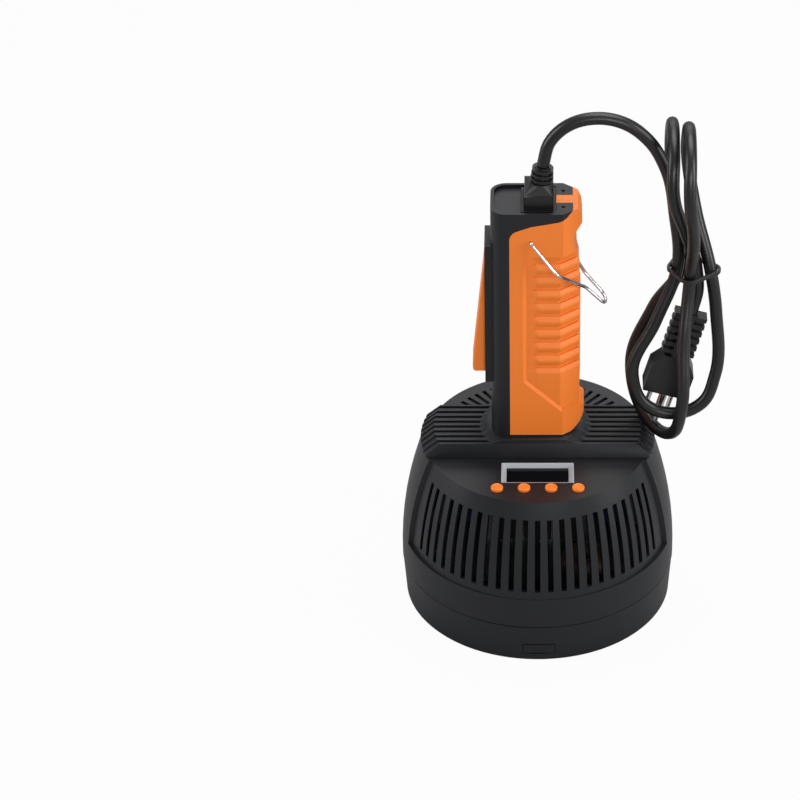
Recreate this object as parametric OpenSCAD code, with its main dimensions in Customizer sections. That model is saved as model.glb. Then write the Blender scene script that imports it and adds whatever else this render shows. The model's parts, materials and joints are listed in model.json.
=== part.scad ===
// Hand-held induction cap sealer: a domed sealing head with a control panel,
// an upright handle with a trigger, and a mains cord tied in a hank.
// Millimetres, +Z up, origin at the centre of the base ring's foot.
// The control panel faces -Y, the trigger -X and the palm side of the grip +X.

/* [Sealing head] */
// Widest diameter of the housing
head_d = 162; // [154:1:176]
// Height of the flat top above the table
head_h = 105; // [102:1:120]
// Diameter of the flat top
top_d = 136; // [132:1:146]
// Height of the widest ring of the housing
bulge_z = 30; // [27:1:36]
// Height of the base ring
base_h = 25; // [22:1:28]
// Inward draft of the base ring, seam to foot
base_draft = 1.75; // [0.5:0.25:2.5]
// Overhang of the housing over the base ring
seam_step = 0.25; // [0.25:0.25:1.5]
// Height of the open seam groove
seam_gap = 0.7; // [0.4:0.1:1.2]
// Wall of the plastic mouldings
wall = 3; // [2.6:0.1:3.6]
// Width of the foot round the cap recess
recess_rim = 17; // [16:0.5:26]
// Depth of the cap recess
recess_depth = 10; // [6:1:12]

/* [Grilles] */
// Slots in each side grille
vent_count = 23; // [11:2:23]
// Angle between neighbouring slots
vent_pitch = 5.6; // [5:0.1:5.8]
// Width of a slot
vent_w = 3.2; // [2:0.1:4]
// Height of the lower slot ends
vent_z0 = 50; // [49:1:60]
// Height of the upper slot ends
vent_z1 = 95; // [85:1:97]
// Half width of the smooth cheeks between the grilles
cheek_y = 24; // [22:1:28]
// Height of the ledge under the grille panels
ledge_z = 45; // [38:1:48]
// Sink of a grille panel at its middle
panel_sink = 0.3; // [0.2:0.1:0.6]
// Extra sink of a grille panel beside the cheeks
panel_fade = 2.9; // [1:0.1:3]
// Slots in the roof behind the saddle
roof_vent_count = 19; // [9:2:21]
// Radius where the roof slots start
roof_vent_r = 46; // [44:1:50]
// Length of a roof slot
roof_vent_len = 13; // [8:1:14]
// Width of a roof slot
roof_vent_w = 2.4; // [1.5:0.1:3]

/* [Saddle] */
// Half width of the saddle at its foot
saddle_y = 22; // [20.5:0.5:23.5]
// Half width of the saddle's flat top
saddle_top_y = 20.5; // [19:0.5:22]
// Height of the saddle over the flat top
saddle_h = 9.3; // [7:0.1:12]
// Radius where the saddle's ends start to slope
saddle_flat_r = 61; // [56:1:64]
// Height of the saddle's outer edge
saddle_edge_h = 2; // [1:0.1:4]
// Number of ridge grooves
groove_count = 8; // [4:2:8]
// Distance between ridge grooves
groove_pitch = 5.1; // [4:0.1:5.2]
// Width of a ridge groove
groove_w = 2.4; // [1:0.1:3]
// Depth of a ridge groove
groove_depth = 1.6; // [0.5:0.1:2.5]
// Foot radius of the handle's collar
collar_r = 32.6; // [31:0.1:35]
// Height of the handle's collar over the saddle
collar_h = 2.7; // [2:0.1:6]

/* [Control panel] */
// Width of the display window
window_w = 43; // [38:1:46]
// Depth of the display window
window_d = 21; // [18:0.5:22]
// Place of the window's middle
window_y = -36.5; // [-38:0.5:-35]
// Width of the dark screen
screen_w = 34; // [30:1:37]
// Depth of the dark screen
screen_d = 16; // [12:0.5:17]
// Diameter of a button
button_d = 7.2; // [6:0.1:8]
// Distance between buttons
button_pitch = 15.7; // [13:0.1:15.8]
// Place of the button row
button_y = -53; // [-54:0.5:-52.5]
// Height of a button over the panel
button_proud = 1.8; // [1:0.1:3]
// Travel of a button
button_travel = 0.6; // [0.3:0.1:0.8]

/* [Handle] */
// Place of the trigger face
handle_x = -26.8; // [-30:0.1:-26]
// Thickness of the handle across the palm
handle_w = 35.2; // [34.4:0.2:40]
// Height of the handle's top
handle_top = 268; // [264:1:290]
// Corner radius of the trigger face
handle_corner = 9; // [5:0.5:11]
// Wall of the handle halves
handle_wall = 2.5; // [2:0.1:3]
// Front edge of the grip
grip_x = -16; // [-17:0.5:-14]
// Thickness of the grip
grip_t = 3; // [2.6:0.1:3.2]
// Palm face of the grip
palm_x = 24; // [23.4:0.2:26]
// Palm face at the lower bulge
bulge_x = 27; // [26:0.5:29]
// Palm face at the neck under the top
neck_x = 20.3; // [19.5:0.1:21.5]
// Crease where the side turns towards the palm
crease_x = 14.5; // [12:0.5:16]
// Grooves between the grip's ribs
rib_count = 9; // [5:1:10]
// Distance between the grip's grooves
rib_pitch = 8.8; // [8:0.1:9]
// Depth of the ribbed pocket
pocket_depth = 1.1; // [0.6:0.1:1.4]
// Depth of a groove in the pocket
rib_depth = 0.9; // [0.4:0.1:1]

/* [Trigger] */
// Half width of the trigger
trigger_y = 9.2; // [7:0.1:9.4]
// Reach of the trigger's foot outside the handle
trigger_reach = 10.6; // [9:0.1:13]
// Height of the trigger's foot
trigger_z = 157.6; // [156:0.1:165]
// Drop of the trigger's pin below the handle's top
pin_drop = 32; // [31:0.5:34]
// Radius of the trigger's pin
pin_r = 1.5; // [1.2:0.1:1.8]
// Side clearance of moving plastic parts
clearance = 0.25; // [0.2:0.05:0.4]
// Running clearance of pins in their bores
running = 0.05; // [0.02:0.01:0.09]

/* [Bail] */
// Wire radius of the bail
bail_r = 1; // [0.8:0.1:1.2]
// Pivot of the bail along X
bail_x = -3.5; // [-4:0.5:-3]
// Drop of the bail's pivot below the handle's top
bail_drop = 18.4; // [18:0.1:21]
// Slope of the resting bail
bail_slope = 49; // [46:0.5:49]
// Length of the bail from pivot to tip
bail_len = 65; // [63:0.5:72]

/* [Inside] */
// Distance of the induction coil inside the cap recess's wall
coil_rim = 11; // [10:0.5:19]
// Radius kept free in the middle of the coil
coil_core = 12; // [11:1:30]
// Diameter of the litz wire
litz_d = 4.4; // [3:0.1:4.5]
// Height of the power board
board_z = 40; // [38:0.5:44]
// Distance of the power board's edge inside the widest ring
board_rim = 17; // [16:0.5:19]
// Size of the square fan
fan_size = 60; // [56:1:62]
// Thickness of the fan
fan_t = 15; // [12:0.5:18]
// Place of the fan behind the middle
fan_y = 12; // [11:1:14]

/* [Cord] */
// Diameter of the mains cord
cord_d = 7.3; // [6.8:0.1:7.4]
// Diameter of the tie's wire
tie_t = 1.6; // [1:0.1:2]

/* [Hidden] */
$fn = 64;

black = "#23262b";
dark = "#16181b";
orange = "#ea7a28";
steel = "#c4c7cb";
green = "#2f5d3a";

// Heights that stack up from the table
seam_z = base_h + seam_gap;
roof_z = head_h - wall;
saddle_z = head_h + saddle_h;
handle_z = saddle_z + collar_h;
plate_t = 3;
former_z = recess_depth + plate_t;
former_floor = 2;
coil_z = former_z + former_floor;
ferrite_z = coil_z + litz_d + 2.6;
ferrite_t = 5;
board_t = 1.6;
board_top = board_z + board_t;
fan_top = roof_z - 6;
fan_z = fan_top - fan_t;

// Radii of the head
head_r = head_d / 2;
top_r = top_d / 2;
seam_r = head_r - seam_step;
foot_r = seam_r - base_draft;
recess_r = head_r - recess_rim;
coil_r = recess_r - coil_rim;
coil_turns = floor((coil_r - coil_core) / litz_d);
board_r = head_r - board_rim;
dome_arc = (pow(head_h - bulge_z, 2) + pow(head_r - top_r, 2)) / (2 * (head_r - top_r));
dome_steps = 8;

// Fasteners and their bosses
screw_r = 1.5;
screw_head_r = 3;
screw_head_h = 2;
boss_r = 4;
base_boss_at = foot_r - boss_r - 1.3;
base_boss_h = 22;
former_post_at = coil_r + 6.5;
saddle_screw_x = 45;
saddle_screw_y = 10.2;
fan_hole = fan_size / 2 - 5;

// Control panel parts
board_drop = 7;
panel_board_z = roof_z - board_drop;
panel_board_w = 56;
panel_board_y0 = button_y - 4.5;
panel_board_y1 = -25;
switch_h = 4.3;
bezel_flange = 1.5;
button_flange_h = 1.5;
button_flange_r = button_d / 2 + 0.7;
button_flange_top = roof_z - 0.2;
panel_posts = [[-25.3, -28.5], [25.3, -28.5], [0, button_y - 2]];

// Handle outline values
handle_y = handle_w / 2;
grip_z = handle_z + 1.6;
handle_mid_x = (handle_x + palm_x) / 2;
core_x = neck_x - grip_t;
core_y = handle_y - grip_t;
inlet_x = 0.5;
inlet_w = 19.6;
inlet_d = 27.2;
inlet_z = handle_top - 22;
pin_z = handle_top - pin_drop;
bail_z = handle_top - bail_drop;
top_sink = 2;
tongue_t = 3.2;
rib_z0 = handle_z + 48;
screw_seat = 8;
screw_spots = [[-11, handle_z + 16], [8, handle_z + 22], [10, inlet_z - 17]];

// Trigger rail and pivot
rail_x = handle_x - 3.5;
rail_y = trigger_y + clearance + 2.6;
rail_z0 = trigger_z - 5.6;
rail_z1 = pin_z + 7.4;
pin_x = handle_x + 1.3;
trigger_foot_x = handle_x - trigger_reach;
switch_x = handle_x + 6.2;
switch_z = trigger_z + 20;
switch_w = 6.4;

// Route of the cord from the strain relief to the plug
route = [[3, 0, 290], [7, 0, 305], [18, 0, 316], [33, 0, 320], [48, 0, 317], [62, 0, 306],
    [72, 0, 288], [78, 0, 257], [80, 2, 221], [68, -5, 189], [55, -10, 156], [62, -12, 137],
    [79, -12, 130], [96, -11, 137], [103, -8, 154], [103, -1, 192], [99, 0, 221], [90, 13, 254],
    [85, 24, 285], [85, 16, 304], [85, -3, 312], [85, -22, 304], [85, -30, 285], [88, -22, 254],
    [87, -9, 221], [84, -19, 184], [83, -28, 143], [79, -21, 123], [69, -4, 115], [59, 13, 123],
    [55, 20, 143], [67, 18, 184], [84, 11, 221], [78, 24, 254], [76, 33, 283], [76, 25, 302],
    [76, 6, 310], [76, -13, 302], [76, -21, 283], [84, -12, 252], [91, 1, 221], [92, 1, 207],
    [89, 1, 192]];
cord_sides = 10;
cord_steps = 2;
plug_tilt = 16;
tie_z = 221;
tie_h = 2.4;
tie_spots = [for (p = route) if (p[2] == tie_z) [p[0], p[1]]];

// Radius of the domed side at a height
function dome_r(z) = head_r - dome_arc + sqrt(pow(dome_arc, 2) - pow(z - bulge_z, 2));

// Outline of the domed side between two heights, moved inwards
function dome_side(inset, z0, z1) = [for (i = [0:dome_steps])
    let (z = z0 + (z1 - z0) * i / dome_steps) [dome_r(z) - inset, z]];

function reversed(list) = [for (i = [len(list) - 1:-1:0]) list[i]];

// Points of an arc in a plane
function arc(cx, cy, r, a0, a1, n = 8) = [for (i = [0:n])
    let (a = a0 + (a1 - a0) * i / n) [cx + r * cos(a), cy + r * sin(a)]];

// Extrusion along Y of an outline drawn in X and Z
module along_y(half) {
    rotate([90, 0, 0]) linear_extrude(2 * half, center = true) children();
}

module block(size, at) {
    translate(at - [size[0] / 2, size[1] / 2, 0]) cube(size);
}

// Pan-head screw standing on its tip side at z = 0, head below
module screw(len) {
    translate([0, 0, -screw_head_h]) cylinder(r = screw_head_r, h = screw_head_h, $fn = 32);
    cylinder(r = screw_r, h = len, $fn = 32);
}

// Sealing head

module base_boss_spots() {
    for (a = [45:90:315]) rotate([0, 0, a]) translate([base_boss_at, 0, 0]) children();
}

module saddle_screw_spots() {
    for (x = [-1, 1], y = [-1, 1]) translate([x * saddle_screw_x, y * saddle_screw_y, 0]) children();
}

module fan_hole_spots() {
    for (x = [-1, 1], y = [-1, 1]) translate([x * fan_hole, fan_y + y * fan_hole, 0]) children();
}

module button_spots() {
    for (i = [0:3]) translate([(i - 1.5) * button_pitch, button_y, 0]) children();
}

// What a sunk grille panel takes off the front of the dome
module grille_panel() {
    difference() {
        translate([-head_d, -head_d, ledge_z]) cube([2 * head_d, head_d - cheek_y, head_h]);
        translate([0, -panel_fade, 0]) rotate_extrude($fn = 128)
            polygon(concat([[0, ledge_z - 1]],
                dome_side(panel_sink + panel_fade, ledge_z - 1, head_h + 1), [[0, head_h + 1]]));
    }
}

module grille_slots() {
    for (i = [0:vent_count - 1]) rotate([0, 0, (i - (vent_count - 1) / 2) * vent_pitch - 90])
        translate([top_r - 4 * wall, -vent_w / 2, vent_z0])
            cube([head_r, vent_w, vent_z1 - vent_z0]);
}

module roof_slots() {
    for (i = [0:roof_vent_count - 1])
        rotate([0, 0, 90 + (i - (roof_vent_count - 1) / 2) * vent_pitch])
            translate([roof_vent_r, -roof_vent_w / 2, roof_z - 1])
                cube([roof_vent_len, roof_vent_w, wall + 2]);
}

module upper_housing() {
    color(black) difference() {
        union() {
            difference() {
                rotate_extrude($fn = 128) polygon(concat(dome_side(0, seam_z, head_h),
                    [[0, head_h], [0, roof_z]], reversed(dome_side(wall, seam_z, roof_z))));
                grille_panel();
                mirror([0, 1, 0]) grille_panel();
                grille_slots();
                mirror([0, 1, 0]) grille_slots();
                roof_slots();
            }
            base_boss_spots() {
                translate([0, 0, seam_z]) cylinder(r = boss_r, h = base_boss_h);
                translate([0, -1.5, seam_z]) cube([head_r - wall - base_boss_at + 1, 3, base_boss_h]);
            }
            fan_hole_spots() translate([0, 0, fan_top]) cylinder(r = boss_r, h = roof_z - fan_top + 1);
            for (p = panel_posts) translate([p[0], p[1], panel_board_z])
                cylinder(r = 2.6, h = board_drop + 1);
        }
        block([window_w, window_d, wall + 2], [0, window_y, roof_z - 1]);
        button_spots() translate([0, 0, roof_z - 1])
            cylinder(r = button_d / 2 + clearance, h = wall + 2);
        translate([handle_mid_x, 0, roof_z - 1]) cylinder(r = 11, h = wall + 2);
        saddle_screw_spots() translate([0, 0, roof_z - 1]) cylinder(r = screw_r + 0.1, h = wall + 2);
        base_boss_spots() translate([0, 0, seam_z - 1]) cylinder(r = screw_r, h = 14);
        fan_hole_spots() translate([0, 0, fan_top - 1]) cylinder(r = screw_r, h = 7);
        for (p = panel_posts) translate([p[0], p[1], panel_board_z - 1])
            cylinder(r = screw_r, h = 6.4);
    }
}

module base_ring() {
    mark_w = 19.5;
    mark_h = 7.4;
    mark_line = 0.7;
    land_r = seam_r - wall / 4;
    inner_r = recess_r + wall;
    color(black) difference() {
        union() {
            rotate_extrude($fn = 128) polygon([[recess_r + 1, 0], [foot_r - 1, 0], [foot_r, 1.2],
                [seam_r, base_h], [land_r, base_h], [land_r, seam_z],
                [head_r - wall - 2, seam_z], [foot_r - wall, wall], [inner_r, wall],
                [inner_r, recess_depth], [recess_r, recess_depth], [recess_r, 1]]);
            base_boss_spots() cylinder(r = boss_r, h = base_h);
        }
        base_boss_spots() translate([0, 0, -1]) {
            cylinder(r = screw_r + 0.1, h = seam_z + 2);
            cylinder(r = screw_head_r + 0.2, h = 1 + 4);
        }
        // Rectangular outline moulded into the front
        translate([0.75, -head_r, 5]) difference() {
            block([mark_w, 2 * (head_r - foot_r + mark_line), mark_h], [0, 0, 0]);
            block([mark_w - 2 * mark_line, head_r, mark_h - 2 * mark_line], [0, 0, mark_line]);
        }
    }
}

module sealing_plate() {
    color("#d9d4c8") translate([0, 0, recess_depth])
        cylinder(r = recess_r + wall - 0.2, h = plate_t, $fn = 128);
}

// Bobbin with a hub, a rim and four posts that carry the power board
module coil_former() {
    rim_r = former_post_at + boss_r + 0.8;
    color("#e4ddcf") difference() {
        union() {
            rotate_extrude() polygon([[5, former_z], [rim_r, former_z], [rim_r, coil_z],
                [coil_r + 2.4, coil_z],
                [coil_r + 2.4, ferrite_z], [coil_r + 0.6, ferrite_z], [coil_r + 0.6, coil_z],
                [9, coil_z], [9, ferrite_z], [5, ferrite_z]]);
            for (a = [0:90:270]) rotate([0, 0, a]) translate([former_post_at, 0, former_z])
                cylinder(r = boss_r, h = board_z - former_z);
        }
        for (a = [0:90:270]) rotate([0, 0, a]) translate([former_post_at, 0, board_z - 8])
            cylinder(r = screw_r, h = 9);
    }
}

module induction_coil() {
    r0 = coil_r - litz_d * coil_turns;
    ripple = 0.5;
    ridge = [for (i = [0:coil_turns - 1]) each [[r0 + litz_d * i, coil_z + litz_d - ripple],
        [r0 + litz_d * (i + 0.3), coil_z + litz_d], [r0 + litz_d * (i + 0.7), coil_z + litz_d]]];
    color("#b5652c") rotate_extrude() polygon(concat([[coil_r, coil_z], [r0, coil_z]], ridge,
        [[coil_r, coil_z + litz_d - ripple]]));
}

module ferrite_bars() {
    color("#3b3b3f") for (a = [22.5:60:322.5]) rotate([0, 0, a])
        translate([6, -5, ferrite_z]) translate([8, 0, 0]) cube([coil_r - 12, 10, ferrite_t]);
}

// Power electronics

module power_board() {
    color(green) difference() {
        translate([0, 0, board_z]) cylinder(r = board_r, h = board_t, $fn = 96);
        for (a = [0:90:270]) rotate([0, 0, a]) translate([former_post_at, 0, board_z - 1])
            cylinder(r = screw_r + 0.1, h = board_t + 2);
    }
}

sink_w = 60;
sink_d = 20;
sink_h = 26;
sink_y = -6;

module heat_sink() {
    fins = 9;
    fin_gap = 3.4;
    pitch = sink_w / fins;
    color("#a9adb2") difference() {
        block([sink_w, sink_d, sink_h], [0, sink_y, board_top]);
        for (i = [0:fins - 1])
            block([fin_gap, sink_d - 6 + 1, sink_h + 2],
                [(i - (fins - 1) / 2) * pitch, sink_y + 3.5, board_top - 1]);
    }
}

module power_transistors() {
    color(dark) for (x = [-18, 0, 18]) translate([x, sink_y - sink_d / 2 - 5, board_top])
        union() {
            block([16, 5, 20], [0, 2.5, 4]);
            for (leg = [-5.4, 0, 5.4]) block([1.4, 1, 5], [leg, 2.5, 0]);
        }
}

module capacitors() {
    color("#2c4f86") {
        block([38, 16, 24], [0, 27, board_top]);
        for (side = [-1, 1]) translate([side * (board_r - 20), 14, board_top]) cylinder(r = 11, h = 24);
    }
}

module choke() {
    color("#a4562a") rotate([0, 0, -58]) translate([board_r - 11.7, 0, board_top + 6]) rotate_extrude()
        translate([9, 0]) circle(r = 6, $fn = 32);
}

// Fan with a square frame, a round duct and a motor spider
duct_r = fan_size / 2 - 2;
hub_r = 12;
shaft_r = 1.5;
fan_arm = 3;

module fan_frame() {
    color(dark) difference() {
        union() {
            difference() {
                block([fan_size, fan_size, fan_t], [0, fan_y, fan_z]);
                translate([0, fan_y, fan_z - 1]) cylinder(r = duct_r, h = fan_t + 2);
            }
            translate([0, fan_y, fan_z]) cylinder(r = hub_r, h = fan_arm);
            for (a = [45:90:315]) translate([0, fan_y, fan_z]) rotate([0, 0, a])
                translate([hub_r - 2, -2, 0]) cube([duct_r - hub_r + 4, 4, fan_arm]);
        }
        translate([0, fan_y, fan_z - 1]) cylinder(r = shaft_r + running, h = fan_arm + 2);
        fan_hole_spots() translate([0, 0, fan_z - 1]) cylinder(r = screw_r + 0.1, h = fan_t + 2);
    }
}

module fan_rotor() {
    blades = 7;
    rotor_z = fan_z + fan_arm + 0.3;
    rotor_h = fan_t - fan_arm - 1.5;
    color("#30343a") translate([0, fan_y, 0]) {
        translate([0, 0, rotor_z]) cylinder(r = hub_r, h = rotor_h);
        translate([0, 0, fan_z]) cylinder(r = shaft_r, h = fan_arm + 1);
        for (i = [0:blades - 1]) rotate([0, 0, i * 360 / blades])
            intersection() {
                translate([0, 0, rotor_z]) cylinder(r = duct_r - 1, h = rotor_h);
                translate([hub_r - 1, 0, rotor_z + rotor_h / 2]) rotate([38, 0, 0])
                    translate([0, -8, -0.7]) cube([duct_r, 16, 1.4]);
            }
    }
}

// Control panel

module display_board() {
    color(green) difference() {
        translate([-panel_board_w / 2, panel_board_y0, panel_board_z - board_t])
            cube([panel_board_w, panel_board_y1 - panel_board_y0, board_t]);
        for (p = panel_posts) translate([p[0], p[1], panel_board_z - board_t - 1])
            cylinder(r = screw_r + 0.1, h = board_t + 2);
    }
}

module display_bezel() {
    frame_z = roof_z - bezel_flange;
    opening_w = window_w - 2;
    opening_d = window_d - 1.6;
    color("#b9bcc0") difference() {
        union() {
            block([window_w - 2 * clearance, window_d - 2 * clearance, head_h - 0.2 - roof_z],
                [0, window_y, roof_z]);
            block([window_w + 2, window_d + 2, bezel_flange], [0, window_y, frame_z]);
        }
        translate([0, window_y, frame_z]) hull() {
            block([screen_w, screen_d, 0.1], [0, 0, -0.1]);
            block([opening_w, opening_d, 0.1], [0, 0, head_h - frame_z]);
        }
    }
}

module display_screen() {
    color("#0b0c0e") translate([0, window_y, panel_board_z])
        block([screen_w + 2, screen_d + 2, board_drop - bezel_flange], [0, 0, 0]);
}

module tact_switches() {
    color(dark) button_spots() translate([0, 0, panel_board_z]) {
        block([6, 6, switch_h - 0.8], [0, 0, 0]);
        cylinder(r = 1.7, h = switch_h, $fn = 24);
    }
}

// Round button with a collar that keeps it under the roof
module button(i) {
    stem_z = panel_board_z + switch_h + button_travel + 0.1;
    color(orange) translate([(i - 1.5) * button_pitch, button_y, 0]) {
        translate([0, 0, button_flange_top - button_flange_h])
            cylinder(r = button_flange_r, h = button_flange_h);
        translate([0, 0, button_flange_top - 0.5])
            cylinder(r = button_d / 2, h = head_h + button_proud - 0.6 - button_flange_top + 0.5);
        translate([0, 0, head_h + button_proud - 0.6])
            cylinder(r1 = button_d / 2, r2 = button_d / 2 - 0.6, h = 0.6);
        translate([0, 0, stem_z]) cylinder(r = 1.7, h = button_flange_top - stem_z);
    }
}

// Saddle and handle

// Revolved outline of the saddle's sloping ends, sunk by an amount
module saddle_ends(sink) {
    translate([0, 0, head_h - sink]) rotate_extrude($fn = 128)
        polygon([[0, 0], [top_r + 1, 0], [top_r + 1, saddle_edge_h], [saddle_flat_r, saddle_h],
            [0, saddle_h]]);
}

module saddle() {
    bar = [[-saddle_y, 0], [saddle_y, 0], [saddle_top_y, saddle_h], [-saddle_top_y, saddle_h]];
    collar_slope = 5.4;
    color(black) difference() {
        union() {
            intersection() {
                translate([-head_r, 0, head_h]) rotate([90, 0, 90]) linear_extrude(head_d)
                    polygon(bar);
                saddle_ends(0);
            }
            intersection() {
                translate([handle_mid_x, 0, saddle_z - 1]) cylinder(r = collar_r, h = 1);
                block([head_d, 2 * saddle_top_y, saddle_z], [0, 0, 0]);
            }
            intersection() {
                translate([handle_mid_x, 0, saddle_z])
                    cylinder(r1 = collar_r, r2 = collar_r - collar_slope, h = collar_h);
                block([head_d, 2 * saddle_top_y, handle_z], [0, 0, 0]);
            }
        }
        difference() {
            for (i = [0:groove_count - 1])
                block([head_d, groove_w, saddle_h], [0, (i - (groove_count - 1) / 2) * groove_pitch, head_h]);
            saddle_ends(groove_depth);
            translate([handle_mid_x, 0, head_h - 1]) cylinder(r = collar_r, h = saddle_h + 2);
        }
        translate([handle_mid_x, 0, head_h - 1]) cylinder(r = 11, h = handle_z);
        saddle_screw_spots() translate([0, 0, head_h - 1]) cylinder(r = screw_r, h = 6);
    }
}

// Outline of the handle seen from above
function handle_section(x_end) = let (c = handle_corner, y = handle_y, x = handle_x,
        slope = (y - 7.5) / (bulge_x - crease_x))
    concat(arc(x + c, -y + c, c, 180, 270), [[crease_x, -y],
        [x_end, -y + (x_end - crease_x) * slope], [x_end, y - (x_end - crease_x) * slope],
        [crease_x, y]], arc(x + c, y - c, c, 90, 180));

// Side outline of the palm, from the grip's foot to the handle's top
function palm_outline() = let (z = handle_z, t = handle_top) concat(
    arc(bulge_x - 14, z + 14, 14, -90, 0), [[bulge_x, z + 17], [palm_x + 0.6, z + 26],
    [palm_x, z + 36], [palm_x, t - 52], [palm_x - 1, t - 34], [neck_x + 1, t - 26],
    [neck_x, t - 22], [neck_x, t - 17]], arc(neck_x + 1, t - 9, 4, -25, 10, 3),
    [[neck_x + 4.5, t - 4], [neck_x + 2.5, t]]);

module handle_body() {
    intersection() {
        translate([0, 0, handle_z]) linear_extrude(handle_top - handle_z)
            polygon(handle_section(bulge_x));
        along_y(handle_y + 1) polygon(concat([[handle_x - 1, handle_z]], palm_outline(),
            [[handle_x - 1, handle_top]]));
    }
}

// What lies under the grip: the handle's own core
module grip_core() {
    chamfer = 5;
    translate([0, 0, handle_z - 1]) linear_extrude(handle_top - handle_z + 2)
        polygon([[handle_x - 1, -core_y], [core_x - chamfer, -core_y], [core_x, -core_y + chamfer],
            [core_x, core_y - chamfer], [core_x - chamfer, core_y], [handle_x - 1, core_y]]);
}

// Side outline of the grip, wide past the palm
function grip_outline() = let (t = handle_top) concat([[bulge_x + 1, grip_z], [grip_x, grip_z],
    [grip_x, t - 17]], arc(grip_x + 6, t - 17, 6, 180, 115, 4),
    [[-3.7, t - 8.2], [4.2, t - 6.8], [12, t - 5.2], [16.5, t - 3.2], [20, t]],
    [[bulge_x + 1, t]]);

module grip_region() {
    tongue_y = 4.3;
    tongue_x = inlet_x + inlet_w / 2 + 0.3;
    difference() {
        along_y(handle_y + 1) polygon(grip_outline());
        grip_core();
    }
    translate([tongue_x, -tongue_y, handle_top - tongue_t])
        cube([bulge_x - tongue_x, 2 * tongue_y, tongue_t + 1]);
}

// Pocket with ribs that wraps the palm
module grip_pocket() {
    pocket_z0 = grip_z + 18;
    pocket = [[-6.5, rib_z0 - 9], [14.4, pocket_z0], [bulge_x + 2, pocket_z0],
        [bulge_x + 2, rib_z0 + 75], [-2.5, rib_z0 + 75], [-6.5, rib_z0 + 71]];
    difference() {
        along_y(handle_y + 1) polygon(pocket);
        translate([-pocket_depth, 0, 0]) linear_extrude(handle_top)
            offset(delta = -pocket_depth) polygon(handle_section(palm_x + 2 * pocket_depth));
    }
    for (i = [0:rib_count - 1]) difference() {
        along_y(handle_y + 1) translate([-2.4, rib_z0 + i * rib_pitch - 1]) square([60, 2]);
        translate([-pocket_depth - rib_depth, 0, 0]) linear_extrude(handle_top)
            offset(delta = -pocket_depth - rib_depth)
                polygon(handle_section(palm_x + 2 * (pocket_depth + rib_depth)));
    }
}

module grip() {
    color(orange) difference() {
        intersection() {
            handle_body();
            grip_region();
        }
        grip_pocket();
        translate([bail_x, 0, bail_z]) rotate([90, 0, 0])
            cylinder(r = bail_r + running, h = handle_w + 2, center = true);
    }
}

// Room inside the handle for the switch, the wires and the inlet
module handle_room() {
    room_x = handle_x + handle_wall;
    room_y = core_y - handle_wall;
    translate([room_x, -room_y, handle_z + handle_wall])
        cube([core_x - handle_wall - room_x, 2 * room_y, inlet_z - handle_z - handle_wall + 1]);
    block([inlet_w + 0.4, inlet_d + 0.4, handle_top], [inlet_x, 0, inlet_z]);
    translate([handle_mid_x, 0, handle_z - 1]) cylinder(r = 9, h = handle_wall + 2);
}

module handle_half(side) {
    rim = 2;
    color(black) difference() {
        intersection() {
            handle_body();
            translate([-100, side > 0 ? 0 : -100, 0]) cube([200, 100, handle_top]);
        }
        difference() {
            grip_region();
            grip_core_keep();
        }
        difference() {
            handle_room();
            screw_bosses();
            switch_shelf();
        }
        translate([rail_x, -rail_y, rail_z0])
            cube([handle_x + handle_wall + 0.4 - rail_x, 2 * rail_y, rail_z1 - rail_z0]);
        translate([0, 0, handle_top - top_sink]) linear_extrude(top_sink + 1)
            intersection() {
                offset(delta = -rim) polygon(handle_section(bulge_x));
                translate([-50, -50]) square([59, 100]);
            }
        for (y = [-1, 1]) translate([14.5, y * 9, handle_top - 3]) cylinder(r = 1.1, h = 4, $fn = 24);
        for (p = screw_spots) translate([p[0], 0, p[1]]) rotate([90, 0, 0]) {
            cylinder(r = screw_r, h = 24, center = true);
            translate([0, 0, -handle_y]) cylinder(r = screw_head_r + 0.2, h = handle_y - screw_seat);
        }
    }
}

// The tongue of the grip lies in a slot of the core
module grip_core_keep() {
    translate([0, 0, -4]) intersection() {
        grip_core();
        cube([400, 400, 2 * (handle_top - tongue_t)], center = true);
    }
}

module screw_bosses() {
    for (p = screw_spots) translate([p[0], 0, p[1]]) rotate([90, 0, 0])
        cylinder(r = boss_r + 0.5, h = handle_w, center = true);
}

module switch_shelf() {
    for (side = [-1, 1])
        block([6, handle_y - switch_w / 2, 12],
            [switch_x + 5, side * (handle_y + switch_w / 2) / 2, switch_z + 4]);
}

module handle_front() { handle_half(-1); }
module handle_rear() { handle_half(1); }

// Trigger group

module trigger_rail() {
    slot_y = trigger_y + clearance;
    color(dark) difference() {
        translate([rail_x, -rail_y, rail_z0])
            cube([handle_x + handle_wall - rail_x, 2 * rail_y, rail_z1 - rail_z0]);
        translate([rail_x - 1, -slot_y, rail_z0 + 3])
            cube([handle_wall + 20, 2 * slot_y, rail_z1 - rail_z0 - 6]);
        translate([pin_x, 0, pin_z]) rotate([90, 0, 0])
            cylinder(r = pin_r + 0.01, h = 2 * rail_y + 2, center = true);
    }
}

module trigger() {
    hub = 3.4;
    outline = concat(arc(pin_x, pin_z, hub, 0, 120), [[rail_x + 0.4, pin_z + 1.2],
        [rail_x - 0.3, pin_z - 5], [trigger_foot_x - 0.2, trigger_z + 4]],
        arc(trigger_foot_x + 1.6, trigger_z + 1.6, 1.6, 180, 270, 4),
        [[handle_x - 3, trigger_z], [handle_x - 1.6, trigger_z + 10], [handle_x + 3.6, pin_z - 8]]);
    color(orange) difference() {
        along_y(trigger_y) polygon(outline);
        translate([pin_x, 0, pin_z]) rotate([90, 0, 0]) {
            cylinder(r = pin_r + running, h = 2 * trigger_y + 2, center = true);
            cylinder(r = hub + 1.2, h = 7, center = true);
        }
    }
}

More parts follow.
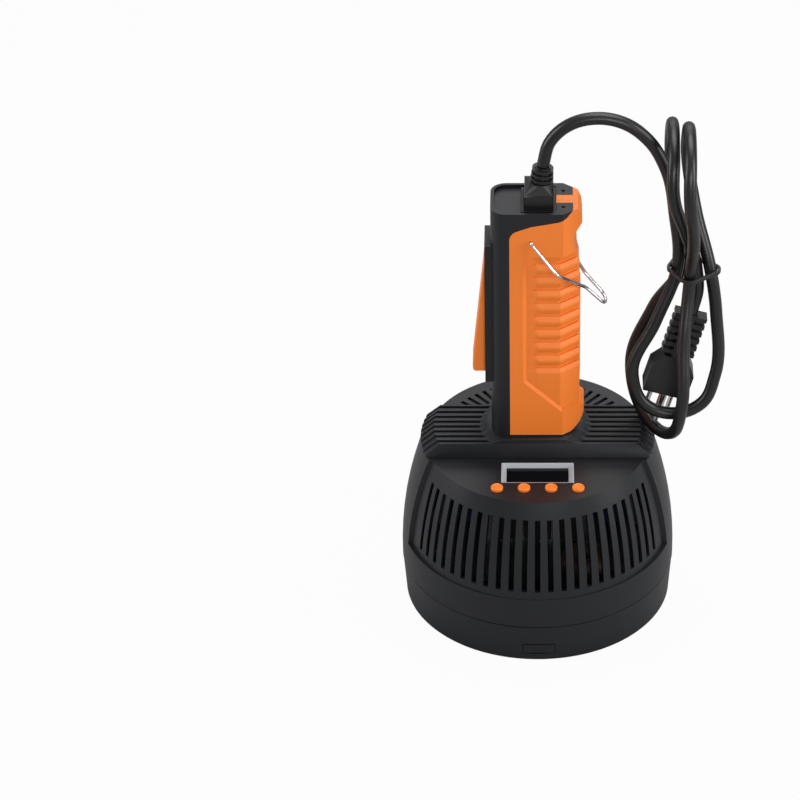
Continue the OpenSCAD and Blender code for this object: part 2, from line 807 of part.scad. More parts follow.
module trigger_pin() {
    color(steel) translate([pin_x, 0, pin_z]) rotate([90, 0, 0])
        cylinder(r = pin_r, h = 2 * rail_y, center = true);
}

// Torsion spring on the pin, with a leg against the handle's inside
module trigger_spring() {
    wire = 0.5;
    ring_r = pin_r + wire + 0.2;
    turns = 4;
    pitch = 1.3;
    y0 = -turns * pitch / 2;
    leg_len = 6;
    coil = [for (i = [0:16 * turns]) let (a = 90 - 360 * i / 16)
        [ring_r * cos(a), y0 + pitch * i / 16, ring_r * sin(a)]];
    color(steel) translate([pin_x, 0, pin_z])
        tube(concat([[leg_len, y0, ring_r]], coil, [[leg_len, -y0, ring_r]]), wire, 8);
}

module micro_switch() {
    color(dark) {
        translate([switch_x, -switch_w / 2, switch_z]) cube([10, switch_w, 20]);
        translate([switch_x - 1.6, 0, switch_z + 14]) rotate([0, 90, 0])
            cylinder(r = 1.4, h = 2.6, $fn = 24);
    }
}

// Wire bail: a point is its distance from the pivot and its place along Y
module wire_bail() {
    hole_end = core_y + 0.4;
    leg_y = handle_y + bail_r + 0.4;
    half = [[0, leg_y], [2, leg_y + 0.8], [20, handle_y + 7.4], [22, handle_y + 7.8],
        [24, handle_y + 7], [45, 9], [47, 8], [49, 7.4], [bail_len - 6, 6],
        [bail_len - 2.5, 5], [bail_len - 0.6, 2.8]];
    path = concat(half, [[bail_len, 0]], reversed([for (p = half) [p[0], -p[1]]]));
    color(steel) translate([bail_x, 0, bail_z]) rotate([0, bail_slope, 0]) {
        tube([for (p = path) [p[0], p[1], 0]], bail_r, 12);
        for (side = [-1, 1]) translate([0, side * (hole_end + leg_y + bail_r) / 2, 0])
            rotate([90, 0, 0]) cylinder(r = bail_r, h = leg_y + bail_r - hole_end, center = true);
    }
}

// Mains inlet, connector and cord

pin_gap = 7;
pin_spots = [[2, -pin_gap], [-2, 0], [2, pin_gap]];

module mains_inlet() {
    socket_w = 16.8;
    socket_d = 24.8;
    color(dark) union() {
        difference() {
            block([inlet_w, inlet_d, handle_top - 0.4 - inlet_z], [inlet_x, 0, inlet_z]);
            block([socket_w, socket_d, 30], [inlet_x, 0, inlet_z + 6]);
        }
        for (p = pin_spots) block([2, 4, 15], [inlet_x + p[0], p[1], inlet_z + 1]);
    }
}

module cord_connector() {
    plug_z = inlet_z + 6.3;
    neck_z = handle_top + 8;
    relief_top = route[0][2];
    ribs = 4;
    rib_step = (relief_top - neck_z - 2) / ribs;
    color(dark) difference() {
        union() {
            block([16, 24, neck_z - plug_z], [inlet_x, 0, plug_z]);
            hull() {
                block([15, 22, 0.2], [inlet_x, 0, neck_z - 0.3]);
                translate([inlet_x + 1.4, 0, neck_z + 4]) cylinder(r = 6, h = 0.2, $fn = 32);
            }
            translate([inlet_x + 1.4, 0, neck_z]) rotate([0, 5, 0])
                cylinder(r1 = 5.4, r2 = 4.6, h = relief_top - neck_z - 0.4);
            for (i = [0:ribs - 1]) translate([inlet_x + 1.4, 0, neck_z]) rotate([0, 5, 0])
                translate([0, 0, 2 + i * rib_step])
                    cylinder(r = 6.8 - 0.25 * i, h = rib_step * 0.55);
        }
        for (p = pin_spots) block([2.6, 4.6, 11], [inlet_x + p[0], p[1], plug_z - 1]);
    }
}

// Smooth curve through the points of a route
function at(list, i) = list[max(0, min(len(list) - 1, i))];
function unit(v) = v / norm(v);
function bearing(list, i) = i == 0 || i == len(list) - 1 ? unit(at(list, i + 1) - at(list, i - 1)) :
    let (p = list[i] - list[i - 1], n = list[i + 1] - list[i])
    unit(unit(p) * norm(n) + unit(n) * norm(p));
function spline(list, i, t) = let (d = 1.04 * norm(list[i + 1] - list[i]))
    list[i] + (list[i + 1] - list[i]) * (3 - 2 * t) * t * t
    + d * bearing(list, i) * t * pow(1 - t, 2) - d * bearing(list, i + 1) * t * t * (1 - t);
function smooth(list, steps) = concat([for (i = [0:len(list) - 2], k = [0:steps - 1])
    spline(list, i, k / steps)], [list[len(list) - 1]]);
function heading(list, i) = unit(at(list, i + 1) - at(list, i - 1));

// Side direction carried along the curve, always square to its heading
function carried(list, i, side) = unit(side - (side * heading(list, i)) * heading(list, i));
function sides(list, i = 0, side = [0, 1, 0]) = i == len(list) ? [] :
    let (s = carried(list, i, side)) concat([s], sides(list, i + 1, s));

module tube(list, r, n) {
    across = sides(list);
    rings = [for (i = [0:len(list) - 1]) let (s = across[i], u = cross(heading(list, i), s))
        [for (k = [0:n - 1]) list[i] + r * (cos(360 * k / n) * s + sin(360 * k / n) * u)]];
    last = (len(list) - 1) * n;
    walls = [for (i = [0:len(list) - 2], k = [0:n - 1]) let (m = (k + 1) % n)
        each [[i * n + k, (i + 1) * n + k, i * n + m], [i * n + m, (i + 1) * n + k, (i + 1) * n + m]]];
    polyhedron([for (ring = rings) each ring], concat(walls, [[for (k = [0:n - 1]) k]],
        [[for (k = [n - 1:-1:0]) last + k]]));
}

module power_cord() {
    color(dark) tube(smooth(route, cord_steps), cord_d / 2, cord_sides);
}

module cord_tie() {
    slack = 0.7;
    module bundle(grow) {
        offset(r = grow, $fn = 24) hull() for (p = tie_spots) translate(p) circle(d = cord_d, $fn = 24);
    }
    color(dark) translate([0, 0, tie_z - tie_h / 2]) linear_extrude(tie_h) difference() {
        bundle(slack + tie_t);
        bundle(slack);
    }
}

plug_at = route[len(route) - 1];
relief_len = 30;
plug_len = 25;

// Plug pieces are drawn downwards from the end of the cord
module plug_frame() {
    translate(plug_at) rotate([0, plug_tilt, 0]) rotate([180, 0, 0]) children();
}

module plug_body() {
    ribs = 6;
    rib_step = relief_len / ribs;
    color(dark) plug_frame() {
        translate([0, 0, 0.2]) cylinder(r1 = 4.4, r2 = 5.6, h = relief_len);
        for (i = [0:ribs - 1]) block([19, 8.4, rib_step * 0.5], [0, 0, 0.8 + i * rib_step]);
        translate([0, 0, relief_len]) hull() {
            block([15, 11, 0.2], [0, 0, 0]);
            block([26, 15, 0.2], [0, 0, 9]);
        }
        block([26, 15, plug_len - 9], [0, 0, relief_len + 9]);
    }
}

module plug_pins() {
    pin_z0 = relief_len + plug_len;
    color(steel) plug_frame() {
        for (x = [-6.35, 6.35]) block([1.6, 6.3, 17], [x, -2.4, pin_z0]);
        translate([0, 4.2, pin_z0]) cylinder(r = 2.4, h = 19, $fn = 32);
    }
}

// Fasteners

module base_screws() {
    color(steel) base_boss_spots() translate([0, 0, 4]) screw(seam_z + 8);
}

module board_screws() {
    color(steel) {
        for (a = [0:90:270]) rotate([0, 0, a]) translate([former_post_at, 0, board_top])
            mirror([0, 0, 1]) screw(7);
        for (p = panel_posts) translate([p[0], p[1], panel_board_z - board_t]) screw(6);
    }
}

module fan_screws() {
    color(steel) fan_hole_spots() translate([0, 0, fan_z]) screw(fan_t + 5);
}

module saddle_screws() {
    color(steel) saddle_screw_spots() translate([0, 0, roof_z]) screw(wall + 4);
}

module handle_screws() {
    color(steel) for (p = screw_spots) translate([p[0], screw_seat, p[1]]) rotate([90, 0, 0]) screw(18);
}

upper_housing();
base_ring();
sealing_plate();
coil_former();
induction_coil();
ferrite_bars();
power_board();
heat_sink();
power_transistors();
capacitors();
choke();
fan_frame();
fan_rotor();
display_board();
display_bezel();
display_screen();
tact_switches();
button(0);  // button_1
button(1);  // button_2
button(2);  // button_3
button(3);  // button_4
saddle();
handle_front();
handle_rear();
grip();
trigger_rail();
trigger();
trigger_pin();
trigger_spring();
micro_switch();
wire_bail();
mains_inlet();
base_screws();
board_screws();
fan_screws();
saddle_screws();
handle_screws();
cord_connector();
power_cord();
cord_tie();
plug_body();
plug_pins();
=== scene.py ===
import json
import math

import bmesh
import bpy
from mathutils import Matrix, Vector


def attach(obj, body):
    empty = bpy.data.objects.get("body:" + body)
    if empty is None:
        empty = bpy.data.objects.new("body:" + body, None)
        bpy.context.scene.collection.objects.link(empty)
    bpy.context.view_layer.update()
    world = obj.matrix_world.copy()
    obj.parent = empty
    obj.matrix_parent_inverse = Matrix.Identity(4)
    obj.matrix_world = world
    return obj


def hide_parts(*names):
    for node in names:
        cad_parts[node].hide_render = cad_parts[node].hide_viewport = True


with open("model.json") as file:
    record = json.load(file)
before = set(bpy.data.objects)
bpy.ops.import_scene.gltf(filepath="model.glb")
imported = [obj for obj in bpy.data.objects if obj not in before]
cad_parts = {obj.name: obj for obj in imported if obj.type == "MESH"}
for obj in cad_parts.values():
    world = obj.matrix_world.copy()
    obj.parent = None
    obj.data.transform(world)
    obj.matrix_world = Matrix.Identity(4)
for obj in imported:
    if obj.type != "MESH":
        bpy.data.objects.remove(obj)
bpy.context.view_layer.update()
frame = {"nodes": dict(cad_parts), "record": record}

# Hand-held induction cap sealer, dressed on its solids.
# Metres, +Z up, control panel towards -Y, trigger towards -X, palm side towards +X.

scene = bpy.context.scene
nodes = frame["nodes"]
MM = 0.001
WELD_GAP = 0.002 * MM
FLAT_ANGLE = math.radians(0.4)


# Camera at the photograph's angle
CAMERA_ELEVATION = math.radians(33.9)
CAMERA_DISTANCE = 2.2
CAMERA_TARGET = Vector((0.0, 0.0, 0.120))
CAMERA_LENS = 168.5
CAMERA_SENSOR = 36.0
CAMERA_SHIFT = (-0.172, 0.020)
CAMERA_REACH = (0.05, 50.0)


def make_camera():
    back = Vector((0.0, -math.cos(CAMERA_ELEVATION), math.sin(CAMERA_ELEVATION)))
    data = bpy.data.cameras.new("photo_camera")
    data.lens = CAMERA_LENS
    data.sensor_width = CAMERA_SENSOR
    data.shift_x, data.shift_y = CAMERA_SHIFT
    data.clip_start, data.clip_end = CAMERA_REACH
    camera = bpy.data.objects.new("photo_camera", data)
    scene.collection.objects.link(camera)
    camera.location = CAMERA_TARGET + back * CAMERA_DISTANCE
    camera.rotation_euler = (-back).to_track_quat("-Z", "Y").to_euler()
    scene.camera = camera


make_camera()


# Mains cord, from the strain relief on the handle to the plug
CORD_DIAMETER = 0.0073
CORD_STEPS = 10
CORD_ROUTE = [
    (0.003, 0.000, 0.290), (0.007, 0.000, 0.305), (0.018, 0.000, 0.316), (0.033, 0.000, 0.320),
    (0.048, 0.000, 0.317), (0.062, 0.000, 0.306), (0.072, 0.000, 0.288), (0.078, 0.000, 0.257),
    (0.080, 0.002, 0.221), (0.068, -0.005, 0.189), (0.055, -0.010, 0.156), (0.062, -0.012, 0.137),
    (0.079, -0.012, 0.130), (0.096, -0.011, 0.137), (0.103, -0.008, 0.154), (0.103, -0.001, 0.192),
    (0.099, 0.000, 0.221), (0.090, 0.013, 0.254), (0.085, 0.024, 0.285), (0.085, 0.016, 0.304),
    (0.085, -0.003, 0.312), (0.085, -0.022, 0.304), (0.085, -0.030, 0.285), (0.088, -0.022, 0.254),
    (0.087, -0.009, 0.221), (0.084, -0.019, 0.184), (0.083, -0.028, 0.143), (0.079, -0.021, 0.123),
    (0.069, -0.004, 0.115), (0.059, 0.013, 0.123), (0.055, 0.020, 0.143), (0.067, 0.018, 0.184),
    (0.084, 0.011, 0.221), (0.078, 0.024, 0.254), (0.076, 0.033, 0.283), (0.076, 0.025, 0.302),
    (0.076, 0.006, 0.310), (0.076, -0.013, 0.302), (0.076, -0.021, 0.283), (0.084, -0.012, 0.252),
    (0.091, 0.001, 0.221), (0.092, 0.001, 0.207), (0.089, 0.001, 0.192)]
CORD_REACH = 1.04


def cord_bearing(points, i):
    """Heading of the cord at one of its route points."""
    if i == 0:
        return (points[1] - points[0]).normalized()
    if i == len(points) - 1:
        return (points[i] - points[i - 1]).normalized()
    before = points[i] - points[i - 1]
    after = points[i + 1] - points[i]
    return (before.normalized() * after.length + after.normalized() * before.length).normalized()


def cord_line(route):
    """Close-set points along a smooth curve through the route."""
    points = [Vector(p) for p in route]
    line = []
    for i in range(len(points) - 1):
        chord = points[i + 1] - points[i]
        reach = CORD_REACH * chord.length
        start, end = cord_bearing(points, i), cord_bearing(points, i + 1)
        for k in range(CORD_STEPS):
            t = k / CORD_STEPS
            line.append(points[i] + chord * (3 - 2 * t) * t * t
                        + start * reach * t * (1 - t) ** 2 - end * reach * t * t * (1 - t))
    return line + [points[-1]]


WIRE_ROUNDING = 4


def round_wire(name, line, radius):
    """Round bar along a line of points, swept as a curve and kept as a mesh."""
    sweep = bpy.data.curves.new(name, "CURVE")
    sweep.dimensions = "3D"
    sweep.bevel_depth = radius
    sweep.bevel_resolution = WIRE_ROUNDING
    sweep.use_fill_caps = True
    spline = sweep.splines.new("POLY")
    spline.points.add(len(line) - 1)
    for point, place in zip(spline.points, line):
        point.co = (*place, 1.0)
    spline.use_smooth = True
    guide = bpy.data.objects.new(name + "_guide", sweep)
    scene.collection.objects.link(guide)
    swept = guide.evaluated_get(bpy.context.evaluated_depsgraph_get())
    piece = bpy.data.objects.new(name, bpy.data.meshes.new_from_object(swept))
    scene.collection.objects.link(piece)
    bpy.data.objects.remove(guide)
    bpy.data.curves.remove(sweep)
    return piece


cord_middle = cord_line(CORD_ROUTE)
mains_cord = round_wire("mains_cord", cord_middle, CORD_DIAMETER / 2)
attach(mains_cord, "sealer")
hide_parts("power_cord")


# Hanging bail of bent wire, half of it given as (along, across) from its pivot in the grip
BAIL_JOINT = next(joint for joint in frame["record"]["behaviour"]["joints"] if joint["name"] == "bail_swing")
BAIL_PIVOT = Vector(BAIL_JOINT["pos_m"])
BAIL_SLOPE = math.radians(49.0)
BAIL_RADIUS = 0.001
BAIL_HALF = [
    (0.0, 0.0151), (0.0, 0.0182), (0.0003, 0.0188), (0.001, 0.0192), (0.002, 0.0196), (0.019, 0.0247),
    (0.0205, 0.0251), (0.022, 0.0252), (0.0235, 0.0247), (0.025, 0.0238), (0.045, 0.0092),
    (0.0465, 0.0082), (0.048, 0.0076), (0.050, 0.0072), (0.060, 0.0058), (0.062, 0.0053),
    (0.0636, 0.0042), (0.0646, 0.0024)]
BAIL_TIP = (0.065, 0.0)


def bail_line():
    """The whole wire, from the tip of one pin round to the other."""
    other = [(along, -across) for along, across in reversed(BAIL_HALF)]
    path = BAIL_HALF + [BAIL_TIP] + other
    out = Vector((math.cos(BAIL_SLOPE), 0.0, -math.sin(BAIL_SLOPE)))
    return [BAIL_PIVOT + out * along + Vector((0.0, across, 0.0)) for along, across in path]


hanging_bail = round_wire("hanging_bail", bail_line(), BAIL_RADIUS)
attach(hanging_bail, "bail")
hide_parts("wire_bail")


# Copies of solids that take a finer shape
def open_copy(node):
    """Editable copy of a node's mesh, with its flat faces joined up."""
    bm = bmesh.new()
    bm.from_mesh(nodes[node].data)
    bmesh.ops.remove_doubles(bm, verts=bm.verts, dist=WELD_GAP)
    bmesh.ops.dissolve_limit(bm, angle_limit=FLAT_ANGLE, verts=bm.verts, edges=bm.edges)
    return bm


def close_copy(bm, name, node, body):
    """Piece made from an edited copy, in the place of its node."""
    mesh = bpy.data.meshes.new(name)
    bm.to_mesh(mesh)
    bm.free()
    piece = bpy.data.objects.new(name, mesh)
    scene.collection.objects.link(piece)
    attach(piece, body)
    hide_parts(node)
    return piece


# Grip with ribs that swell between its grooves, in a pocket with sloping sides
# The grooves, by the height of the lowest, their spacing and their number
RIB_FOOT = 0.165
RIB_PITCH = 0.0088
RIB_COUNT = 9
# How far the pocket's floor sinks at a groove and rises between two
RIB_SINK = 0.00065
RIB_RISE = 0.0007
# Where the ribs start on the grip's sides, and the length over which they grow
RIB_START = -0.0024
RIB_FADE = 0.003
# Cuts that each rib and its start are divided by
RIB_CUTS = 8
RIB_FADE_CUTS = 4
CUT_GAP = 1e-6
# Limits that tell the pocket's upright floor from the grooves' floors
UPRIGHT = 0.05
RIB_LEVEL = 0.0003
# The pocket's front and lower sides as (x, z), how far they slope, and how soon below its top
POCKET = [(-0.0065, 0.236), (-0.0065, 0.156), (0.0144, 0.1366), (0.029, 0.1366)]
POCKET_SLOPE = 0.0019
POCKET_FADE = 0.010
ON_LINE = 0.00005


def rib_floors(bm):
    """Faces of the ribbed pocket's floor: in each direction, the outermost ones between the grooves."""
    low, high = RIB_FOOT - RIB_PITCH / 2, RIB_FOOT + (RIB_COUNT - 0.5) * RIB_PITCH
    reach, found = {}, []
    for face in bm.faces:
        centre = face.calc_center_median()
        if abs(face.normal.z) < UPRIGHT and centre.x > RIB_START and low < centre.z < high:
            way = tuple(round(c, 2) for c in face.normal)
            out = face.normal.dot(centre)
            reach[way] = max(reach.get(way, out), out)
            found.append((face, way, out))
    return [face for face, way, out in found if out > 0 and reach[way] - out < RIB_LEVEL]


def pocket_sides():
    """Each side of the pocket in its (x, z) outline: a point on it and the way out of the pocket."""
    corners = [Vector((x, 0.0, z)) for x, z in POCKET]
    for start, end in zip(corners, corners[1:]):
        along = (end - start).normalized()
        yield start, Vector((along.z, 0.0, -along.x))


def slope_pocket(bm):
    """Move the pocket's upper edge away from its floor, so that its sides slope, less so near its top."""
    sides = list(pocket_sides())
    top = POCKET[0][1]

    def outside(place):
        flat = Vector((place.x, 0.0, place.z))
        return [(flat - start).dot(out) for start, out in sides]

    moves = []
    for vert in bm.verts:
        gaps = outside(vert.co)
        if abs(max(gaps)) < ON_LINE and any(
                max(outside(face.calc_center_median())) > 2 * ON_LINE for face in vert.link_faces):
            touched = [out for gap, (start, out) in zip(gaps, sides) if abs(gap) < ON_LINE]
            moves.append((vert, sum(touched, Vector()).normalized()))
    for vert, out in moves:
        vert.co += out * POCKET_SLOPE * min(1.0, max(0.0, (top - vert.co.z) / POCKET_FADE))


def ribbed_grip():
    bm = open_copy("grip")
    heights = [RIB_FOOT + (i / RIB_CUTS - 0.5) * RIB_PITCH for i in range(RIB_CUTS * RIB_COUNT + 1)]
    cuts = [((0, 0, z), (0, 0, 1)) for z in heights]
    fades = [RIB_START + RIB_FADE * (i + 1) / RIB_FADE_CUTS for i in range(RIB_FADE_CUTS)]
    cuts += [((x, 0, 0), (1, 0, 0)) for x in fades]
    for place, across in cuts:
        bmesh.ops.bisect_plane(bm, geom=bm.verts[:] + bm.edges[:] + bm.faces[:], dist=CUT_GAP,
                               plane_co=place, plane_no=across)
    inward = {}
    for face in rib_floors(bm):
        for vert in face.verts:
            inward[vert] = inward.get(vert, Vector()) - face.normal
    for vert, way in inward.items():
        dip = 0.5 + 0.5 * math.cos(math.tau * (vert.co.z - RIB_FOOT) / RIB_PITCH)
        fade = min(1.0, max(0.0, (vert.co.x - RIB_START) / RIB_FADE))
        vert.co += way.normalized() * fade * (RIB_SINK * dip - RIB_RISE * (1 - dip))
    slope_pocket(bm)
    return close_copy(bm, "ribbed_grip", "grip", "sealer")


grip = ribbed_grip()


# Control panel: dished buttons and a window that stands higher in its bezel
DISH_RIM = 0.0007
DISH_DEPTH = 0.0004
WINDOW_RISE = 0.0015
BUTTON_COUNT = 4
FACING_UP = 0.99


def dished_button(number):
    node = f"button_{number}"
    bm = open_copy(node)
    upward = [face for face in bm.faces if face.normal.z > FACING_UP]
    crown = max(upward, key=lambda face: face.calc_center_median().z)
    bmesh.ops.inset_region(bm, faces=[crown], thickness=DISH_RIM, depth=-DISH_DEPTH)
    return close_copy(bm, f"dished_button_{number}", node, node)


def display_window():
    bm = open_copy("display_screen")
    middle = sum((vert.co.z for vert in bm.verts), 0.0) / len(bm.verts)
    for vert in bm.verts:
        if vert.co.z > middle:
            vert.co.z += WINDOW_RISE
    return close_copy(bm, "display_window", "display_screen", "sealer")


buttons = [dished_button(number) for number in range(1, BUTTON_COUNT + 1)]
window = display_window()


# Shared surface effects
def new_group(name, inputs, outputs):
    """Empty shader group with float inputs (name, default) and outputs (name, kind)."""
    group = bpy.data.node_groups.new(name, "ShaderNodeTree")
    for title, default in inputs:
        socket = group.interface.new_socket(title, in_out="INPUT", socket_type="NodeSocketFloat")
        socket.default_value = default
    for title, kind in outputs:
        group.interface.new_socket(title, in_out="OUTPUT", socket_type=kind)
    return group, group.nodes.new("NodeGroupInput"), group.nodes.new("NodeGroupOutput")


def moulded_grain():
    """Fine spark-eroded grain of a moulding, with patches that handling has polished."""
    group, given, result = new_group(
        "moulded_grain",
        [("Grain Scale", 1800.0), ("Roughness", 0.5), ("Polish", 0.1), ("Patch Scale", 25.0)],
        [("Height", "NodeSocketFloat"), ("Roughness", "NodeSocketFloat")])
    make, link = group.nodes.new, group.links.new
    place = make("ShaderNodeTexCoord")
    grain = make("ShaderNodeTexNoise")
    grain.inputs["Detail"].default_value = 2.0
    link(place.outputs["Object"], grain.inputs["Vector"])
    link(given.outputs["Grain Scale"], grain.inputs["Scale"])
    patch = make("ShaderNodeTexNoise")
    patch.inputs["Detail"].default_value = 3.0
    link(place.outputs["Object"], patch.inputs["Vector"])
    link(given.outputs["Patch Scale"], patch.inputs["Scale"])
    centred = make("ShaderNodeMath")
    centred.operation = "SUBTRACT"
    centred.inputs[1].default_value = 0.5
    link(patch.outputs["Fac"], centred.inputs[0])
    shift = make("ShaderNodeMath")
    shift.operation = "MULTIPLY_ADD"
    link(centred.outputs[0], shift.inputs[0])
    link(given.outputs["Polish"], shift.inputs[1])
    link(given.outputs["Roughness"], shift.inputs[2])
    link(grain.outputs["Fac"], result.inputs["Height"])
    link(shift.outputs[0], result.inputs["Roughness"])
    return group


GRAIN = moulded_grain()
GRAIN_STRENGTH = 0.35


def finish(name, colour, roughness, metallic=0.0, specular=0.5):
    """Plain finish, with every value on the shader's own sockets."""
    material = bpy.data.materials.new(name)
    material.use_nodes = True
    shader = material.node_tree.nodes["Principled BSDF"]
    shader.inputs["Base Color"].default_value = (*colour, 1.0)
    shader.inputs["Roughness"].default_value = roughness
    shader.inputs["Metallic"].default_value = metallic
    shader.inputs["Specular IOR Level"].default_value = specular
    return material


def moulded(name, colour, roughness, polish=0.1, depth=0.03, specular=0.5):
    """Moulded plastic or rubber with the shared grain."""
    material = finish(name, colour, roughness, specular=specular)
    tree = material.node_tree
    shader = tree.nodes["Principled BSDF"]
    grain = tree.nodes.new("ShaderNodeGroup")
    grain.node_tree = GRAIN
    grain.inputs["Roughness"].default_value = roughness
    grain.inputs["Polish"].default_value = polish
    bump = tree.nodes.new("ShaderNodeBump")
    bump.inputs["Strength"].default_value = GRAIN_STRENGTH
    bump.inputs["Distance"].default_value = depth * MM
    tree.links.new(grain.outputs["Height"], bump.inputs["Height"])
    tree.links.new(grain.outputs["Roughness"], shader.inputs["Roughness"])
    tree.links.new(bump.outputs["Normal"], shader.inputs["Normal"])
    return material


FINISHES = {
    "black_shell": moulded("charcoal_moulding", (0.0070, 0.0078, 0.0102), 0.42, polish=0.12, specular=0.38),
    "orange_grip": moulded("orange_soft_grip", (0.86, 0.200, 0.018), 0.50, polish=0.1),
    "orange_plastic": moulded("orange_moulding", (0.88, 0.205, 0.018), 0.42, polish=0.1),
    "dark_plastic": moulded("black_moulding", (0.0065, 0.0070, 0.0080), 0.48, specular=0.4),
    "cord_rubber": moulded("cord_jacket", (0.0050, 0.0050, 0.0055), 0.36, polish=0.15, depth=0.02),
    "tie_plastic": finish("tie_strap", (0.006, 0.006, 0.006), 0.42),
    "pale_plastic": moulded("heat_proof_plate", (0.62, 0.58, 0.50), 0.55),
    "bezel_plastic": moulded("grey_bezel", (0.40, 0.42, 0.45), 0.4),
    "screen_plastic": finish("smoked_window", (0.003, 0.003, 0.004), 0.10, specular=0.3),
    "copper": finish("enamelled_copper", (0.50, 0.17, 0.05), 0.32, metallic=0.9),
    "ferrite": moulded("sintered_ferrite", (0.045, 0.045, 0.050), 0.6),
    "board": finish("coated_board", (0.003, 0.009, 0.005), 0.5, specular=0.3),
    "aluminium": finish("extruded_aluminium", (0.62, 0.63, 0.65), 0.35, metallic=1.0),
    "blue_sleeve": finish("capacitor_sleeve", (0.012, 0.024, 0.070), 0.4),
    "chrome_wire": finish("bright_wire", (0.78, 0.79, 0.81), 0.12, metallic=1.0),
    "steel": finish("zinc_plate", (0.58, 0.59, 0.61), 0.3, metallic=1.0),
    "plug_brass": finish("nickel_plate", (0.66, 0.65, 0.63), 0.25, metallic=1.0),
    "dark_steel": finish("blackened_steel", (0.035, 0.035, 0.037), 0.45, metallic=1.0),
    "choke_winding": finish("varnished_winding", (0.022, 0.010, 0.006), 0.5, specular=0.3),
}


def dress(piece, slot):
    piece.data.materials.clear()
    piece.data.materials.append(FINISHES[slot])


dress(mains_cord, "cord_rubber")
dress(hanging_bail, "chrome_wire")
dress(grip, "orange_grip")
dress(window, "screen_plastic")
for button in buttons:
    dress(button, "orange_plastic")
for part in frame["record"]["subparts"]:
    dress(nodes[part["node"]], part["material_slot"])
dress(nodes["choke"], "choke_winding")
for node in ("fan_screws", "board_screws", "trigger_pin"):
    dress(nodes[node], "dark_steel")


# Moulded edges: a small radius in millimetres on every sharp corner of a solid
EDGE_SEGMENTS = 2
SHADE_WEIGHT = 60
EDGE_RADII = {
    "upper_housing": 0.3, "base_ring": 0.3, "handle_front": 0.5, "handle_rear": 0.5, "trigger": 0.5,
    "trigger_rail": 0.3, "display_bezel": 0.3, "cord_connector": 0.5, "plug_body": 0.6, "plug_pins": 0.2,
    "cord_tie": 0.2}


def soften(piece, radius, angle=32.0, curved=True):
    """Round a piece's edges; a curved piece takes its shading from its largest faces."""
    for face in piece.data.polygons:
        face.use_smooth = True
    weld = piece.modifiers.new("weld", "WELD")
    weld.merge_threshold = WELD_GAP
    flat = piece.modifiers.new("flat_faces", "DECIMATE")
    flat.decimate_type = "DISSOLVE"
    flat.angle_limit = FLAT_ANGLE
    edge = piece.modifiers.new("moulded_edge", "BEVEL")
    edge.width = radius * MM
    edge.segments = EDGE_SEGMENTS
    edge.limit_method = "ANGLE"
    edge.angle_limit = math.radians(angle)
    edge.use_clamp_overlap = True
    if curved:
        shade = piece.modifiers.new("even_shade", "WEIGHTED_NORMAL")
        shade.weight = SHADE_WEIGHT
    else:
        edge.harden_normals = True


for node, radius in EDGE_RADII.items():
    soften(nodes[node], radius)
soften(nodes["saddle"], 0.4, curved=False)
soften(grip, 0.5, angle=22.0)
for button in buttons:
    soften(button, 0.2, angle=25.0)


# Studio: pale floor, white surround and soft lamps
FLOOR_HALF = 6.0
FLOOR_DROP = 0.0002
FLOOR_GREY = (0.40, 0.40, 0.40)
FLOOR_WHITE = 0.96
SURROUND_LIGHT = 0.36
LAMP_AIM = Vector((0.0, 0.0, 0.13))


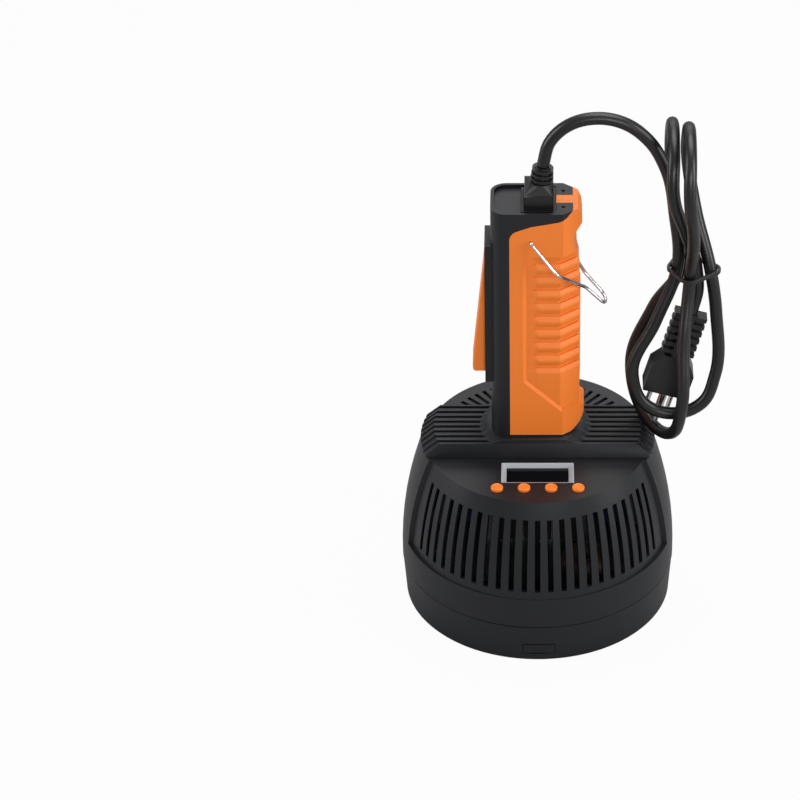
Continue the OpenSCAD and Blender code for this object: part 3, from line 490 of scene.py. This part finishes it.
def pale_floor():
    """Floor that looks white and keeps a faint shadow, yet sends little light back up at the object."""
    material = finish("pale_floor", FLOOR_GREY, 0.8, specular=0.0)
    tree = material.node_tree
    glow = tree.nodes.new("ShaderNodeEmission")
    share = tree.nodes.new("ShaderNodeMath")
    share.operation = "MULTIPLY"
    share.inputs[1].default_value = FLOOR_WHITE
    mix = tree.nodes.new("ShaderNodeMixShader")
    tree.links.new(tree.nodes.new("ShaderNodeLightPath").outputs["Is Camera Ray"], share.inputs[0])
    tree.links.new(share.outputs[0], mix.inputs["Fac"])
    tree.links.new(tree.nodes["Principled BSDF"].outputs["BSDF"], mix.inputs[1])
    tree.links.new(glow.outputs["Emission"], mix.inputs[2])
    tree.links.new(mix.outputs["Shader"], tree.nodes["Material Output"].inputs["Surface"])
    return material


def make_floor():
    mesh = bpy.data.meshes.new("floor")
    corners = [(x * FLOOR_HALF, y * FLOOR_HALF, -FLOOR_DROP)
               for x, y in ((-1, -1), (1, -1), (1, 1), (-1, 1))]
    mesh.from_pydata(corners, [], [(0, 1, 2, 3)])
    floor = bpy.data.objects.new("floor", mesh)
    scene.collection.objects.link(floor)
    mesh.materials.append(pale_floor())


def make_surround():
    world = bpy.data.worlds.new("studio")
    scene.world = world
    world.use_nodes = True
    tree = world.node_tree
    surround = tree.nodes["Background"]
    surround.inputs["Color"].default_value = (1.0, 1.0, 1.0, 1.0)
    level = tree.nodes.new("ShaderNodeMapRange")
    level.inputs["To Min"].default_value = SURROUND_LIGHT
    level.inputs["To Max"].default_value = 1.0
    tree.links.new(tree.nodes.new("ShaderNodeLightPath").outputs["Is Camera Ray"], level.inputs["Value"])
    tree.links.new(level.outputs["Result"], surround.inputs["Strength"])


def softbox(name, place, size, power):
    data = bpy.data.lights.new(name, "AREA")
    data.shape = "RECTANGLE"
    data.size, data.size_y = size
    data.energy = power
    lamp = bpy.data.objects.new(name, data)
    scene.collection.objects.link(lamp)
    lamp.location = place
    lamp.rotation_euler = (LAMP_AIM - Vector(place)).to_track_quat("-Z", "Y").to_euler()


make_floor()
make_surround()
softbox("top_softbox", (0.2, 0.3, 1.5), (1.2, 1.0), 15)
softbox("back_softbox", (0.0, 1.7, 1.2), (1.6, 0.7), 4)
softbox("left_softbox", (-1.5, -0.2, 0.7), (0.5, 1.2), 11)
softbox("right_softbox", (1.5, -0.5, 0.7), (0.6, 1.2), 15)
softbox("front_softbox", (0.4, -1.8, 0.9), (0.9, 0.7), 12)

scene.view_settings.view_transform = "Standard"
